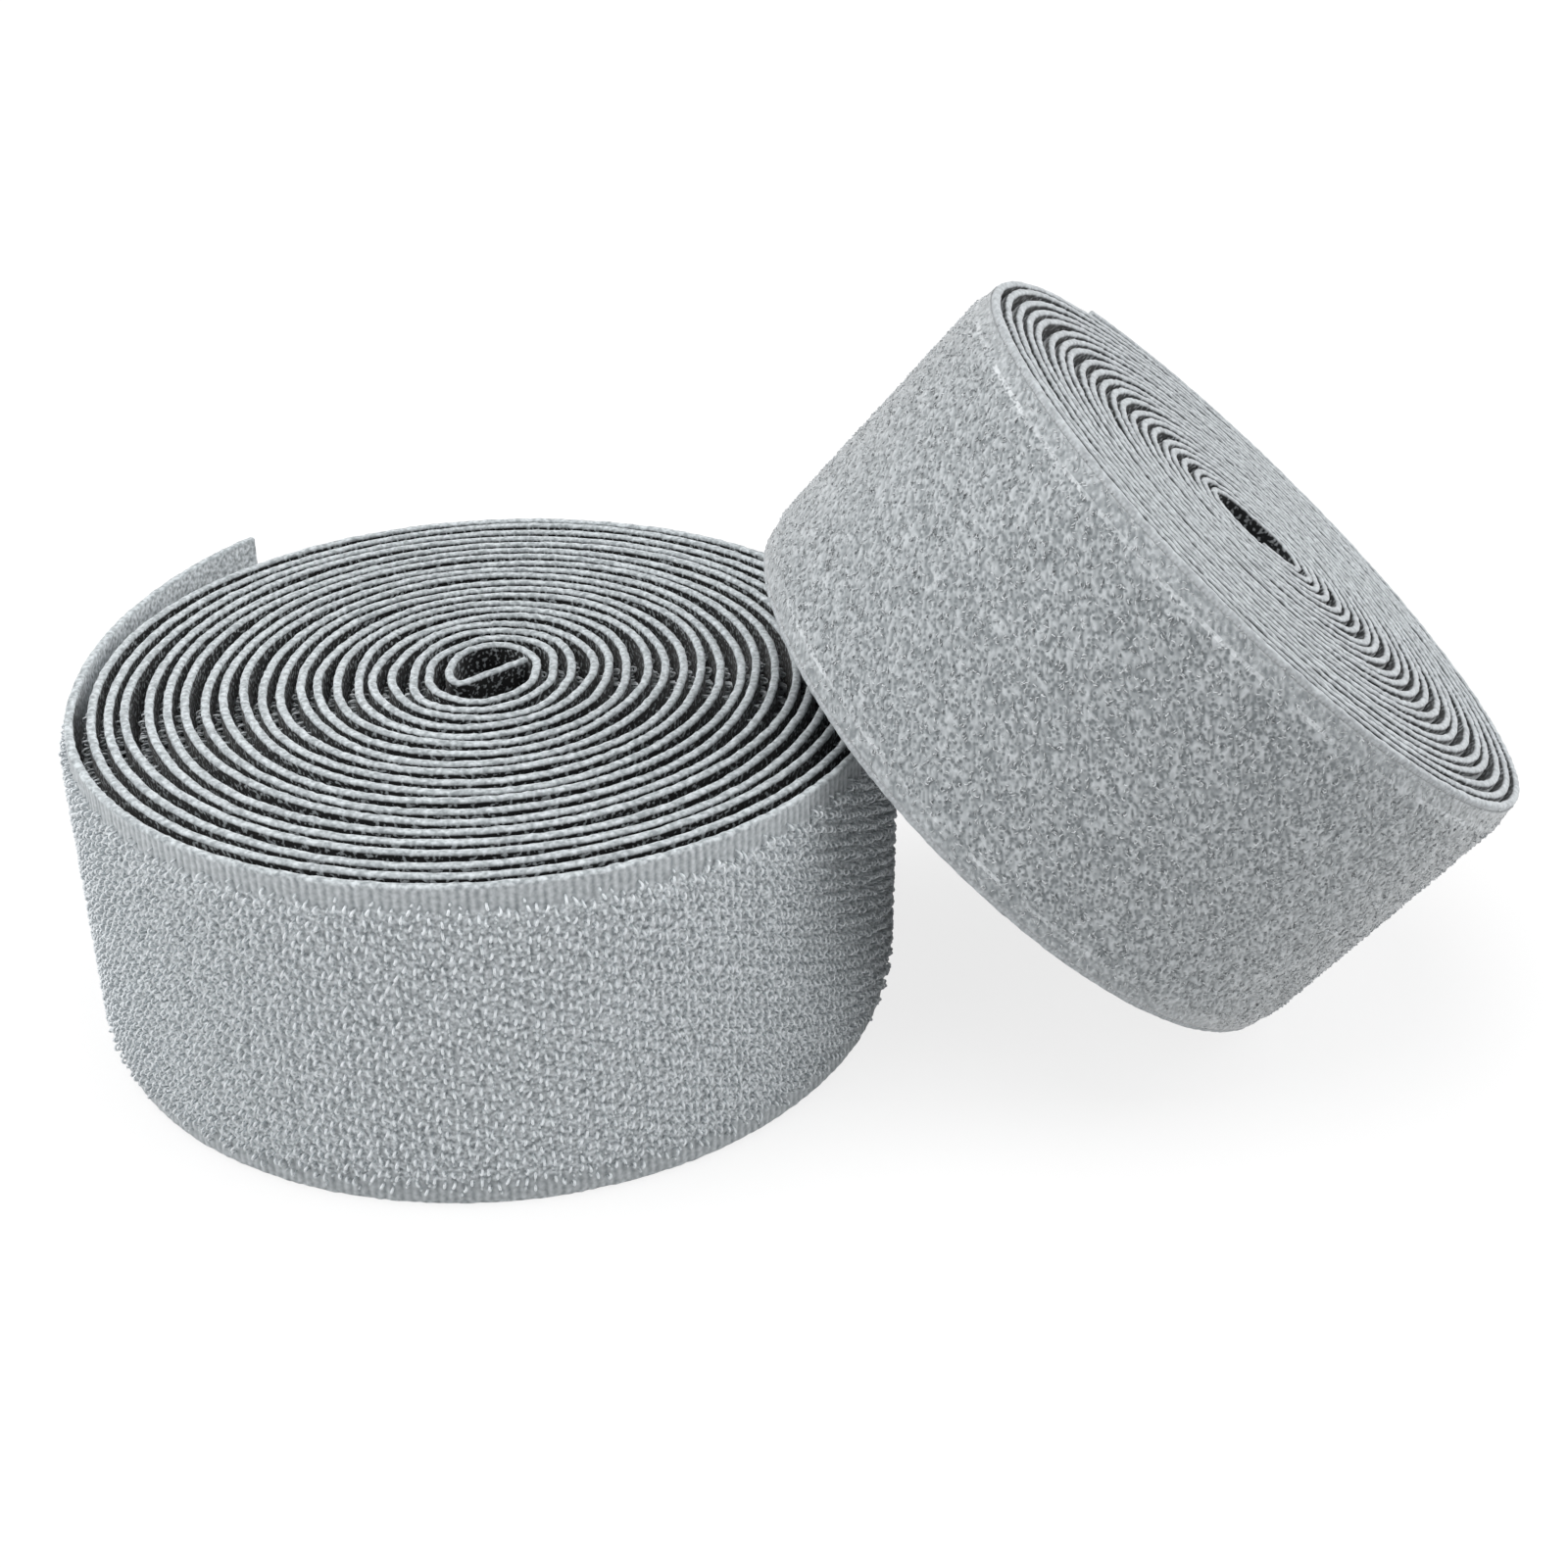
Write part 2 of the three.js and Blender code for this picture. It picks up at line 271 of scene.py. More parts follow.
def woven_nylon(name, roll, rim, light, dark, painted_shade_speck, painted_shade_dark, rib, rib_depth):
    """Woven nylon ribbon: matt filament yarn, ribbed by its weft on the selvages and uneven elsewhere.

    The rounded edge is paler, because there the weft threads turn back and lie close. Between the turns
    the ribbon is painted with shade below its edge, nearly black where little light comes out again, with
    paler painted specks for a few high threads that would catch light."""
    material, tree, shader = start_material(name)
    flat = add_node(tree, "ShaderNodeAttribute", {}, attribute_name="flat").outputs["Vector"]
    place = add_node(tree, "ShaderNodeSeparateXYZ", {"Vector": flat})
    distance = add_node(tree, "ShaderNodeMath", {0: place.outputs["Z"]}, operation="ABSOLUTE")
    from_middle = distance.outputs[0]
    behind = add_node(tree, "ShaderNodeMath", {0: place.outputs["Y"], 1: 0.0}, operation="LESS_THAN")
    back = behind.outputs[0]
    half = TAPE_WIDTH / 2
    at_rim = add_node(
        tree,
        "ShaderNodeMapRange",
        {"Value": from_middle, "From Min": half - RIM, "From Max": half - RIM / 2},
    )
    in_field = add_node(
        tree,
        "ShaderNodeMapRange",
        {"Value": from_middle, "From Min": half - SELVAGE, "From Max": half - SELVAGE - FIBRE},
    )
    unribbed = add_node(
        tree, "ShaderNodeMath", {0: in_field.outputs["Result"], 1: back}, operation="MAXIMUM"
    )
    # The back is covered a whole turn further out than the outer face
    last_turn = roll.root_length - roll.outer_turn
    wound_to = add_node(
        tree,
        "ShaderNodeMath",
        {0: back, 1: -last_turn, 2: place.outputs["X"]},
        operation="MULTIPLY_ADD",
    )
    covered = add_node(
        tree,
        "ShaderNodeMapRange",
        {
            "Value": wound_to.outputs[0],
            "From Min": roll.outer_turn + COVER_FADE,
            "From Max": roll.outer_turn - COVER_FADE,
        },
    )
    below_edge = add_node(
        tree,
        "ShaderNodeMapRange",
        {
            "Value": from_middle,
            "From Min": half - roll.lit_edge,
            "From Max": half - roll.lit_edge - PAINTED_SHADE_DEPTH,
        },
    )
    # Painted shade: where the ribbon is covered by the next turn, its colour goes dark below the lit edge
    painted_shade_mask = add_node(
        tree,
        "ShaderNodeMath",
        {0: covered.outputs["Result"], 1: below_edge.outputs["Result"]},
        operation="MULTIPLY",
    )
    ribs = add_node(
        tree, "ShaderNodeTexWave", {"Vector": flat, "Scale": WAVE_TURN / rib}, bands_direction="X"
    )
    noise = add_node(tree, "ShaderNodeTexNoise", {"Vector": flat, "Scale": 1 / FIBRE, "Detail": 1.0})
    fibre = add_node(
        tree, "ShaderNodeMapRange", {"Value": noise.outputs["Fac"], "From Min": 0.3, "From Max": 0.7}
    )
    # Where the painted shade gets paler painted specks, for high threads that would catch light
    high = add_node(
        tree, "ShaderNodeMapRange", {"Value": noise.outputs["Fac"], "From Min": 0.53, "From Max": 0.66}
    )
    ribbed = add_node(
        tree,
        "ShaderNodeMix",
        {"Factor": FIBRE_SHARE, "A": ribs.outputs["Fac"], "B": fibre.outputs["Result"]},
    )
    selvage = add_node(
        tree, "ShaderNodeMath", {0: ribbed.outputs["Result"], 1: SELVAGE_DULL}, operation="MULTIPLY"
    )
    weave = add_node(
        tree,
        "ShaderNodeMix",
        {"Factor": unribbed.outputs[0], "A": selvage.outputs[0], "B": fibre.outputs["Result"]},
    )
    faces = add_node(
        tree,
        "ShaderNodeMix",
        {"Factor": weave.outputs["Result"], "A": linear(dark), "B": linear(light)},
        data_type="RGBA",
    )
    edge = add_node(
        tree,
        "ShaderNodeMix",
        {"Factor": fibre.outputs["Result"], "A": linear(dark), "B": linear(rim)},
        data_type="RGBA",
    )
    own_colour = add_node(
        tree,
        "ShaderNodeMix",
        {"Factor": at_rim.outputs["Result"], "A": faces.outputs["Result"], "B": edge.outputs["Result"]},
        data_type="RGBA",
    )
    # The painted shade between the turns: nearly black, with its paler painted specks
    painted_shade = add_node(
        tree,
        "ShaderNodeMix",
        {"Factor": high.outputs["Result"], "A": linear(painted_shade_dark), "B": linear(painted_shade_speck)},
        data_type="RGBA",
    )
    colour = add_node(
        tree,
        "ShaderNodeMix",
        {"Factor": painted_shade_mask.outputs[0], "A": own_colour.outputs["Result"], "B": painted_shade.outputs["Result"]},
        data_type="RGBA",
    )
    bump = add_node(
        tree,
        "ShaderNodeBump",
        {"Height": weave.outputs["Result"], "Strength": 0.6, "Distance": rib_depth},
    )
    tree.links.new(colour.outputs["Result"], shader.inputs["Base Color"])
    tree.links.new(bump.outputs["Normal"], shader.inputs["Normal"])
    shader.inputs["Roughness"].default_value = 0.75
    shader.inputs["Specular IOR Level"].default_value = 0.2
    shader.inputs["Sheen Weight"].default_value = 0.15
    shader.inputs["Sheen Roughness"].default_value = 0.5
    return material


hook_weave = woven_nylon(
    "woven_nylon_hook_ribbon",
    hook,
    rim="#ced4d7",
    light="#edf1f4",
    dark="#8e9497",
    painted_shade_speck="#adb3b6",
    painted_shade_dark="#070809",
    rib=RIB,
    rib_depth=RIB_DEPTH,
)
hook_winding = ribbon("hook_ribbon_wound", hook, 0, hook.outer_turn, hook.root_length, seed=3)
hook_winding.data.materials.append(hook_weave)
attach(hook_winding, "hook_roll")
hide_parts("hook_tape_winding")


hook_tail = ribbon("hook_ribbon_tail", hook, hook.root_length, hook.root_length, hook.tip_length, seed=4)
hook_tail.data.materials.append(hook_weave)
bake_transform(hook_tail)
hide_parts("hook_tape_tail")

# Hooks
# Nylon monofilament, woven in as loops across the tape and cut on one side: a hook and a short stub.
# One stands on every rib in each of 20 rows, a quarter of a row on from the rib before.
# The filament is drawn about twice as thick as the real one, so that it shows.
HOOK_FILAMENT = 0.00038
HOOK_STEM = 0.00075
HOOK_CURL = 0.00038
HOOK_CURL_TURN = math.radians(215)
STUB_PLACE = 0.00111
STUB_HEIGHT = 0.00075
HOOK_ROWS = 20
HOOK_SHIFTS = 4  # ribs after which the hooks stand in the same row again
ROW_SPACING = 0.00222
HOOK_REACH = HOOK_STEM + HOOK_CURL + HOOK_FILAMENT / 2
# How far a hook may stand off its place, turn and lean, and how much shorter it may be
HOOK_ASTRAY = {"shift": 0.00014, "turn": 0.5, "lean": 0.22, "shrink": 0.15}
SAME_PLACE = 1e-7  # points closer than this are one


def hook_shape(roll, sides, curl_steps):
    """One hook on the flat tape: a stem out of the ribbon that curls over across it, and its cut stub."""
    bm = bmesh.new()
    into_weave = roll.ribbon / 2 - HOOK_FILAMENT
    for place, height in ((-HOOK_CURL, HOOK_STEM), (STUB_PLACE, STUB_HEIGHT)):
        ring = bmesh.ops.create_circle(bm, segments=sides, radius=HOOK_FILAMENT / 2)["verts"]
        bmesh.ops.rotate(bm, cent=(0, 0, 0), matrix=Matrix.Rotation(-math.pi / 2, 3, "X"), verts=ring)
        bmesh.ops.translate(bm, vec=(place, into_weave, 0), verts=ring)
        rim = [e for e in bm.edges if all(v in ring for v in e.verts)]
        raised = bmesh.ops.extrude_edge_only(bm, edges=rim)["geom"]
        top = [v for v in raised if isinstance(v, bmesh.types.BMVert)]
        bmesh.ops.translate(bm, vec=(0, height + HOOK_FILAMENT, 0), verts=top)
        if place < 0:
            end_edges = [e for e in bm.edges if all(v in top for v in e.verts)]
            bmesh.ops.spin(
                bm,
                geom=top + end_edges,
                cent=(0, into_weave + HOOK_STEM + HOOK_FILAMENT, 0),
                axis=(0, 0, -1),
                angle=HOOK_CURL_TURN,
                steps=curl_steps,
            )
    bmesh.ops.remove_doubles(bm, verts=bm.verts, dist=SAME_PLACE)
    bmesh.ops.holes_fill(bm, edges=bm.edges, sides=0)
    bmesh.ops.recalc_face_normals(bm, faces=bm.faces)
    bmesh.ops.rotate(bm, cent=(0, 0, 0), matrix=Matrix.Rotation(math.pi / 2, 3, "Y"), verts=bm.verts)
    return bm


def planted(bm, start, lowest, repeats):
    """Copies of a small shape over the flat tape. A repeat is a count and its step along and across."""
    mesh, shape = to_mesh("planted", bm)
    mesh.transform(Matrix.Translation((start, 0, lowest)))
    seedling = bpy.data.objects.new("planted", mesh)
    bpy.context.collection.objects.link(seedling)
    for count, along, across in repeats:
        array = seedling.modifiers.new("repeat", "ARRAY")
        array.use_relative_offset = False
        array.use_constant_offset = True
        array.constant_offset_displace = (along, 0, across)
        array.count = count
    grown = seedling.evaluated_get(bpy.context.evaluated_depsgraph_get())
    copies = bpy.data.meshes.new_from_object(grown)
    bpy.data.objects.remove(seedling)
    return copies, points_of(copies).reshape(-1, len(shape), 3)


def ruffle(shapes, roll, seed, shift, turn, lean, shrink):
    """Sets each small shape a little off its place, turned either way, leaning and shorter, by chance."""
    chance = np.random.default_rng(seed)
    count = len(shapes)
    middle = shapes.mean(axis=1, keepdims=True)
    angle = chance.uniform(-turn, turn, (count, 1)) + math.pi * chance.integers(0, 2, (count, 1))
    along = shapes[:, :, 0] - middle[:, :, 0]
    across = shapes[:, :, 2] - middle[:, :, 2]
    above = (shapes[:, :, 1] - roll.ribbon / 2) * chance.uniform(1 - shrink, 1, (count, 1))
    lean_along, lean_across = chance.uniform(-lean, lean, (2, count, 1))
    shift_along, shift_across = chance.uniform(-shift, shift, (2, count, 1))
    turned_along = along * np.cos(angle) - across * np.sin(angle)
    turned_across = along * np.sin(angle) + across * np.cos(angle)
    new_along = middle[:, :, 0] + turned_along + lean_along * above + shift_along
    new_across = middle[:, :, 2] + turned_across + lean_across * above + shift_across
    return np.stack([new_along, above + roll.ribbon / 2, new_across], axis=2)


def add_shade(mesh, shapes, seed):
    """Keeps one chance number for each small shape, which its material turns into its shade."""
    shade = np.random.default_rng(seed).random(len(shapes))
    values = np.repeat(shade, shapes.shape[1])
    mesh.attributes.new("shade", "FLOAT", "POINT").data.foreach_set("value", values)


def nylon_monofilament(name, light, dark, root):
    """Nylon monofilament: drawn smooth, with a dull gloss, and no two filaments catch the light alike.

    Its colour is painted darker towards the root, where it goes into the weave, as shade among the hooks."""
    material, tree, shader = start_material(name)
    shade = add_node(tree, "ShaderNodeAttribute", {}, attribute_name="shade")
    flat = add_node(tree, "ShaderNodeAttribute", {}, attribute_name="flat")
    place = add_node(tree, "ShaderNodeSeparateXYZ", {"Vector": flat.outputs["Vector"]})
    up = add_node(
        tree,
        "ShaderNodeMapRange",
        {
            "Value": place.outputs["Y"],
            "From Min": hook.ribbon / 2,
            "From Max": hook.ribbon / 2 + HOOK_REACH - HOOK_FILAMENT,
        },
    )
    tip = add_node(
        tree,
        "ShaderNodeMix",
        {"Factor": shade.outputs["Fac"], "A": linear(dark), "B": linear(light)},
        data_type="RGBA",
    )
    # Painted shade: darker towards the root, among the hooks
    colour = add_node(
        tree,
        "ShaderNodeMix",
        {"Factor": up.outputs["Result"], "A": linear(root), "B": tip.outputs["Result"]},
        data_type="RGBA",
    )
    tree.links.new(colour.outputs["Result"], shader.inputs["Base Color"])
    shader.inputs["Roughness"].default_value = 0.75
    shader.inputs["Specular IOR Level"].default_value = 0.2
    return material


# The root colour is painted shade, darker towards the weave among the hooks
hook_nylon = nylon_monofilament(
    "nylon_monofilament_hooks", light="#e6eaed", dark="#dce1e4", root="#bcc2c5"
)
LOWEST_HOOK = -ROW_SPACING * (HOOK_ROWS - 1 / HOOK_SHIFTS) / 2
HOOK_GROUP = HOOK_SHIFTS * RIB
FULL_HOOK = {"sides": 4, "curl_steps": 5}
PLAIN_HOOK = {"sides": 3, "curl_steps": 4}


def hook_rows(name, start, groups, lowest, rows, form, seed):
    """Hooks over a stretch of the tape, ruffled and wound up with it."""
    repeats = (
        (HOOK_SHIFTS, RIB, ROW_SPACING / HOOK_SHIFTS),
        (rows, 0, ROW_SPACING),
        (groups, HOOK_GROUP, 0),
    )
    mesh, shapes = planted(hook_shape(hook, **form), start, lowest, repeats)
    shapes = ruffle(shapes, hook, seed, **HOOK_ASTRAY)
    add_shade(mesh, shapes, seed)
    piece = wind_up(name, hook, mesh, shapes.reshape(-1, 3), seed)
    piece.data.materials.append(hook_nylon)
    return piece


# Between the inner turns only the upper rows can be seen, and only those are made, in a plainer form
SEEN_ROWS = 2
UPPER_ROWS = LOWEST_HOOK + ROW_SPACING * (HOOK_ROWS - SEEN_ROWS)
FOLDED_END = 0.020  # the folded inner end is left without hooks, which would fill the eye
TAIL_PLAIN = 0.002  # the hooks on the free end start this far from its root
hook_pieces = []
outer_starts = np.arange(hook.outer_turn, hook.root_length, HOOK_GROUP)
for number, starts in enumerate(np.array_split(outer_starts, 4), start=1):
    name = f"hooks_outer_turn_{number}"
    piece = hook_rows(name, starts[0], len(starts), LOWEST_HOOK, HOOK_ROWS, FULL_HOOK, seed=20 + number)
    hook_pieces.append(piece)
inner_starts = np.arange(FOLDED_END, hook.outer_turn, HOOK_GROUP)
for number, starts in enumerate(np.array_split(inner_starts, 3), start=1):
    name = f"hooks_inner_turns_{number}"
    piece = hook_rows(name, starts[0], len(starts), UPPER_ROWS, SEEN_ROWS, PLAIN_HOOK, seed=24 + number)
    hook_pieces.append(piece)
for piece in hook_pieces:
    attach(piece, "hook_roll")
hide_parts("hook_field")
tail_start = hook.root_length + TAIL_PLAIN
tail_groups = int(hook.tail_length / HOOK_GROUP)
hook_tail_hooks = hook_rows(
    "hooks_tail", tail_start, tail_groups, LOWEST_HOOK, HOOK_ROWS, FULL_HOOK, seed=28
)
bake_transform(hook_tail_hooks)
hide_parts("hook_tail_field")

# Loop tape, wound
# A woven nylon ribbon of about 4.2 m, wound 22 and a half turns. It stands on its rim and leans.
# The pile between its turns keeps them apart.
LOOP_RIB = 0.0006
LOOP_RIB_DEPTH = 0.00004
loop = SimpleNamespace(
    hand=1,
    ribbon=0.0011,
    turns=22.5,
    pitch=0.00207,
    eye=0.0059,
    eye_oval=0.0015,
    rim_oval=0,
    oval_way=0,
    eye_shift=0,
    tail_root=math.radians(90),
    tail_length=0.030,
    tail_radius=0.0545,
    wander=0.00016,
    # lit_edge: depth below the edge at which the painted shade between the turns begins
    lit_edge=0.00011,
)
lay_line(loop, [])

# The roll's axis is the tail's hinge line turned up, its X points down the slope and its Y to the back
loop_axis = -np.array(joint("loop_tail_peel")["axis"])
down_slope = loop_axis * loop_axis[2] - (0, 0, 1)
down_slope /= np.linalg.norm(down_slope)
loop.axes = np.array([down_slope, np.cross(loop_axis, down_slope), loop_axis])
loop_root = loop.root + loop.root_outward * (loop.ribbon / 2 + 1j * loop.hand * SEAT_GAP / 2)
loop_hinge = np.array(joint("loop_tail_peel")["pos_m"])
loop.origin = loop_hinge - np.array([loop_root.real, loop_root.imag, 0]) @ loop.axes

loop_weave = woven_nylon(
    "woven_nylon_loop_ribbon",
    loop,
    rim="#bcc1c4",
    light="#dce0e3",
    dark="#94989b",
    painted_shade_speck="#999da0",
    painted_shade_dark="#15181a",
    rib=LOOP_RIB,
    rib_depth=LOOP_RIB_DEPTH,
)
loop_winding = ribbon("loop_ribbon_wound", loop, 0, loop.root_length, loop.root_length, seed=5)
loop_winding.data.materials.append(loop_weave)
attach(loop_winding, "loop_roll")
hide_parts("loop_tape_winding")

# Loop tape, free end
# The last 30 mm of the ribbon, which lies close round the back of the roll.
# It is free from the roll's outer turn, and bends where it leaves it.
loop_tail = ribbon("loop_ribbon_tail", loop, loop.root_length, loop.tip_length, loop.tip_length, seed=6)
loop_tail.data.materials.append(loop_weave)
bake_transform(loop_tail)
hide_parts("loop_tape_tail")

# Loop pile
# Fine nylon loops, napped so that they stand up, lean every way and tangle between the selvages.
# A close felt of broken loops lies under them, and fills the gaps between the inner turns.
# The yarn is drawn several times as thick as the real one, so that it shows.
PILE_YARN = 0.00016
PILE_LOOP = 0.00026
PILE_SPACING = 0.0009
PILE_SETBACK = 0.0010
PILE_WIDTH = TAPE_WIDTH - 2 * PILE_SETBACK
PILE_ROWS = round(PILE_WIDTH / PILE_SPACING)
PILE_HEIGHT = 0.00112
PILE_ASTRAY = {"shift": 0.0005, "turn": math.pi, "lean": 0.8, "shrink": 0.3}
SHORT_FUZZ = 0.25  # the height of the pile on the selvages, as a share of its full height
FELT_HEIGHT = 0.00072
FELT_UNEVEN = 0.00018
FELT_STEP = 0.00042
TUFT = 0.006  # patches of the pile that lean alike
PILE_SPECK = 0.0007  # from one fibre end to the next, drawn coarser than real so that it shows


def tapered(across):
    """How high the pile stands beside its middle: on the selvages it thins out to a short fuzz."""
    from_edge = TAPE_WIDTH / 2 - PILE_SETBACK - abs(across)
    return np.clip(from_edge / SELVAGE, SHORT_FUZZ, 1)


def napped_nylon(name, light, dark, root):
    """Napped nylon pile: crimped filament with no gloss, paler where the light grazes its fibre ends.

    The pile is painted dark at its root, as the shade where the fibres stand so close that little light
    comes out again."""
    material, tree, shader = start_material(name)
    flat = add_node(tree, "ShaderNodeAttribute", {}, attribute_name="flat").outputs["Vector"]
    shade = add_node(tree, "ShaderNodeAttribute", {}, attribute_name="shade")
    lift = add_node(tree, "ShaderNodeAttribute", {}, attribute_name="lift")
    up = add_node(
        tree,
        "ShaderNodeMapRange",
        {
            "Value": lift.outputs["Fac"],
            "From Min": FELT_HEIGHT - FELT_UNEVEN,
            "From Max": (FELT_HEIGHT + PILE_HEIGHT) / 2,
        },
    )
    tufts = add_node(tree, "ShaderNodeTexNoise", {"Vector": flat, "Scale": 1 / TUFT, "Detail": 4.0})
    mixed = add_node(
        tree, "ShaderNodeMix", {"Factor": 0.5, "A": tufts.outputs["Fac"], "B": shade.outputs["Fac"]}
    )
    tip = add_node(
        tree,
        "ShaderNodeMix",
        {"Factor": mixed.outputs["Result"], "A": linear(dark), "B": linear(light)},
        data_type="RGBA",
    )
    # Painted shade: darker towards the root of the pile
    colour = add_node(
        tree,
        "ShaderNodeMix",
        {"Factor": up.outputs["Result"], "A": linear(root), "B": tip.outputs["Result"]},
        data_type="RGBA",
    )
    # A faint painted highlight here and there: a paler line where the pile's first row stands on the
    # selvage
    place = add_node(tree, "ShaderNodeSeparateXYZ", {"Vector": flat})
    from_middle = add_node(tree, "ShaderNodeMath", {0: place.outputs["Z"]}, operation="ABSOLUTE")
    first_row = add_node(
        tree,
        "ShaderNodeMath",
        {0: from_middle.outputs[0], 1: TAPE_WIDTH / 2 - SELVAGE, 2: PILE_SPACING / 3},
        operation="COMPARE",
    )
    here_and_there = add_node(
        tree,
        "ShaderNodeMapRange",
        {"Value": tufts.outputs["Fac"], "From Min": 0.4, "From Max": 0.62, "To Max": 0.55},
    )
    painted_highlight = add_node(
        tree,
        "ShaderNodeMath",
        {0: first_row.outputs[0], 1: here_and_there.outputs["Result"]},
        operation="MULTIPLY",
    )
    highlighted = add_node(
        tree,
        "ShaderNodeMix",
        {"Factor": painted_highlight.outputs[0], "A": colour.outputs["Result"], "B": linear(light)},
        data_type="RGBA",
    )
    # Specks of shade between the fibre ends, fewer on the selvages, where the pile is thin
    ends = add_node(tree, "ShaderNodeTexVoronoi", {"Vector": flat, "Scale": 1 / PILE_SPECK})
    between_ends = add_node(
        tree, "ShaderNodeMapRange", {"Value": ends.outputs["Distance"], "From Min": 0.2, "From Max": 0.48}
    )
    on_selvage = add_node(
        tree,
        "ShaderNodeMath",
        {0: from_middle.outputs[0], 1: TAPE_WIDTH / 2 - SELVAGE},
        operation="GREATER_THAN",
    )
    smoother = add_node(
        tree, "ShaderNodeMath", {0: on_selvage.outputs[0], 1: 0.6}, operation="MULTIPLY"
    )
    unshaded = add_node(
        tree,
        "ShaderNodeMath",
        {0: between_ends.outputs["Result"], 1: smoother.outputs[0]},
        operation="MAXIMUM",
    )
    specked = add_node(
        tree,
        "ShaderNodeMix",
        {"Factor": unshaded.outputs[0], "A": linear(root), "B": highlighted.outputs["Result"]},
        data_type="RGBA",
    )
    tree.links.new(specked.outputs["Result"], shader.inputs["Base Color"])
    shader.inputs["Roughness"].default_value = 0.9
    shader.inputs["Specular IOR Level"].default_value = 0.2
    shader.inputs["Sheen Weight"].default_value = 0.8
    shader.inputs["Sheen Roughness"].default_value = 0.5
    return material


# The root colour is painted shade, at the pile's root and in the specks between the fibre ends
loop_pile = napped_nylon("napped_nylon_pile", light="#e3e7ea", dark="#bbc0c3", root="#747a7d")


def lower_beside_middle(mesh, heights, across):
    """Heights over the ribbon, thinned out on the selvages. The painted shade at the pile's root keeps
    the full heights.
    """
    mesh.attributes.new("lift", "FLOAT", "POINT").data.foreach_set("value", heights.ravel())
    return heights * tapered(across) + loop.ribbon / 2


def pile_loop(roll):
    """One loop of pile on the flat tape: a yarn that leaves the felt, turns over and goes back in."""
    bm = bmesh.new()
    bmesh.ops.create_circle(bm, segments=3, radius=PILE_YARN / 2)
    bmesh.ops.rotate(bm, cent=(0, 0, 0), matrix=Matrix.Rotation(-math.pi / 2, 3, "X"), verts=bm.verts)
    bmesh.ops.translate(bm, vec=(-PILE_LOOP, 0, 0), verts=bm.verts)
    below = math.radians(40)
    bmesh.ops.rotate(bm, cent=(0, 0, 0), matrix=Matrix.Rotation(below, 3, "Z"), verts=bm.verts)
    bmesh.ops.spin(
        bm,
        geom=bm.verts[:] + bm.edges[:],
        cent=(0, 0, 0),
        axis=(0, 0, -1),
        angle=math.pi + 2 * below,
        steps=4,
    )
    bmesh.ops.remove_doubles(bm, verts=bm.verts, dist=SAME_PLACE)
    bmesh.ops.holes_fill(bm, edges=bm.edges, sides=0)
    top = roll.ribbon / 2 + PILE_HEIGHT
    bmesh.ops.translate(bm, vec=(0, top - PILE_LOOP - PILE_YARN / 2, 0), verts=bm.verts)
    bmesh.ops.recalc_face_normals(bm, faces=bm.faces)
    return bm


def pile_rows(name, start, end, seed):
    """Pile loops over a stretch of the tape, ruffled and wound up with it."""
    repeats = (
        (PILE_ROWS, 0, PILE_SPACING),
        (int((end - start) / PILE_SPACING), PILE_SPACING, 0),
    )
    lowest = (PILE_SPACING - PILE_WIDTH) / 2
    mesh, shapes = planted(pile_loop(loop), start, lowest, repeats)
    shapes = ruffle(shapes, loop, seed, **PILE_ASTRAY)
    middle = shapes[:, :, 2].mean(axis=1, keepdims=True)
    shapes[:, :, 1] = lower_beside_middle(mesh, shapes[:, :, 1] - loop.ribbon / 2, middle)
    add_shade(mesh, shapes, seed)
    piece = wind_up(name, loop, mesh, shapes.reshape(-1, 3), seed)
    piece.data.materials.append(loop_pile)
    return piece


def felt_strip(name, start, end, step, strips, seed):
    """The close felt under the loops: a strip over the ribbon's outer face with an uneven top."""
    bm = bmesh.new()
    bmesh.ops.create_cube(bm, size=1)
    bmesh.ops.scale(bm, vec=(end - start, FELT_HEIGHT, PILE_WIDTH), verts=bm.verts)
    middle = loop.ribbon / 2 + FELT_HEIGHT / 2
    bmesh.ops.translate(bm, vec=((start + end) / 2, middle, 0), verts=bm.verts)
    ends = [e for e in bm.edges if abs(e.verts[0].co.z - e.verts[1].co.z) > PILE_WIDTH / 2]
    upper_ends = [e for e in ends if e.verts[0].co.y > middle]
    bmesh.ops.subdivide_edges(bm, edges=upper_ends, cuts=strips - 1, use_grid_fill=True)
    cuts = round((end - start) / step) - 1
    bmesh.ops.subdivide_edges(bm, edges=edges_along(bm, start, end), cuts=cuts, use_grid_fill=True)
    mesh, flat = to_mesh(name, bm)
    on_top = flat[:, 1] > middle
    uneven = np.random.default_rng(seed).uniform(-FELT_UNEVEN, FELT_UNEVEN, len(flat))
    flat[:, 1] = lower_beside_middle(mesh, on_top * (FELT_HEIGHT + uneven), flat[:, 2])
    piece = wind_up(name, loop, mesh, flat, seed)
    piece.data.materials.append(loop_pile)
    return piece


FELT_STRIPS = round(PILE_WIDTH / FELT_STEP)
HIDDEN_STRIPS = 2
TAIL_BARE = 0.001  # the loops on the free end start this far from its root
pile_thirds = np.linspace(loop.outer_turn, loop.root_length, 4)
pile_pieces = []
for number, (start, end) in enumerate(zip(pile_thirds, pile_thirds[1:]), start=1):
    pile_pieces.append(pile_rows(f"pile_outer_turn_{number}", start, end, seed=30 + number))
pile_pieces += [
    felt_strip(
        "pile_felt_outer_turn", loop.outer_turn, loop.root_length, FELT_STEP, FELT_STRIPS, seed=36
    ),
    felt_strip("pile_felt_inner_turns", 0.0, loop.outer_turn, STATION, HIDDEN_STRIPS, seed=37),
]
for piece in pile_pieces:
    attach(piece, "loop_roll")
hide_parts("loop_field")
